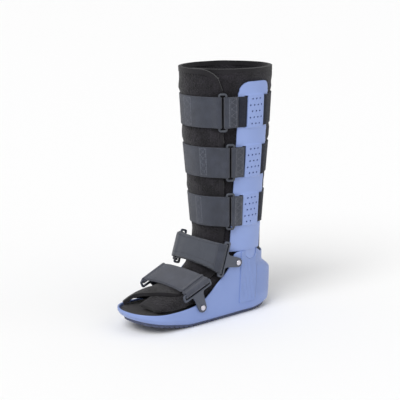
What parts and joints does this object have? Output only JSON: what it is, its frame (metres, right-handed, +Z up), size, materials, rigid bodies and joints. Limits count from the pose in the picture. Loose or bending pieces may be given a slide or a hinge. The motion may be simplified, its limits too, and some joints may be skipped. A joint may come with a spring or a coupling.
{
  "type": "walking boot",
  "caption": "Tall walking boot: moulded rocker shell with side uprights, a padded wrap liner open at the toe, calf straps on wire rings and foot straps on swivelling brackets.",
  "frame": {"origin": "on the floor, on the sole's flat resting face, straight under the axis of the leg shaft", "axes": "+Z up along the leg, -Y towards the toe, +X to the side that carries the calf rings"},
  "size_m": [0.152, 0.3023, 0.4263],
  "materials": {
    "calf_ring_low": "dark grey moulded plastic",
    "calf_ring_mid": "dark grey moulded plastic",
    "calf_ring_top": "dark grey moulded plastic",
    "calf_strap_low": "slate woven webbing",
    "calf_strap_mid": "slate woven webbing",
    "calf_strap_top": "slate woven webbing",
    "forefoot_bracket_far": "slate moulded plastic",
    "forefoot_bracket_near": "slate moulded plastic",
    "forefoot_rivet_far": "bright domed rivet",
    "forefoot_rivet_near": "bright domed rivet",
    "forefoot_strap": "slate woven webbing",
    "insole": "black knitted cover over foam",
    "instep_bracket_far": "slate moulded plastic",
    "instep_bracket_near": "slate moulded plastic",
    "instep_pad": "padded slate cover",
    "instep_rivet_far": "bright domed rivet",
    "instep_rivet_near": "bright domed rivet",
    "instep_strap": "slate woven webbing",
    "liner": "charcoal loop-faced foam laminate",
    "outsole": "dark grey moulded rubber tread",
    "shell_base": "blue moulded plastic, soft satin sheen",
    "upright_far": "blue moulded plastic, soft satin sheen",
    "upright_near": "blue moulded plastic, soft satin sheen"
  },
  "bodies": {
    "root": {"calf_ring_low": "calf_ring_low", "calf_ring_mid": "calf_ring_mid", "calf_ring_top": "calf_ring_top", "calf_strap_low": "calf_strap_low", "calf_strap_mid": "calf_strap_mid", "calf_strap_top": "calf_strap_top", "forefoot_bracket_far": "forefoot_bracket_far", "forefoot_bracket_near": "forefoot_bracket_near", "forefoot_rivet_far": "forefoot_rivet_far", "forefoot_rivet_near": "forefoot_rivet_near", "forefoot_strap": "forefoot_strap", "insole": "insole", "instep_bracket_far": "instep_bracket_far", "instep_bracket_near": "instep_bracket_near", "instep_pad": "instep_pad", "instep_rivet_far": "instep_rivet_far", "instep_rivet_near": "instep_rivet_near", "instep_strap": "instep_strap", "liner": "liner", "outsole": "outsole", "shell_base": "shell_base", "upright_far": "upright_far", "upright_near": "upright_near"}
  },
  "joints": []
}
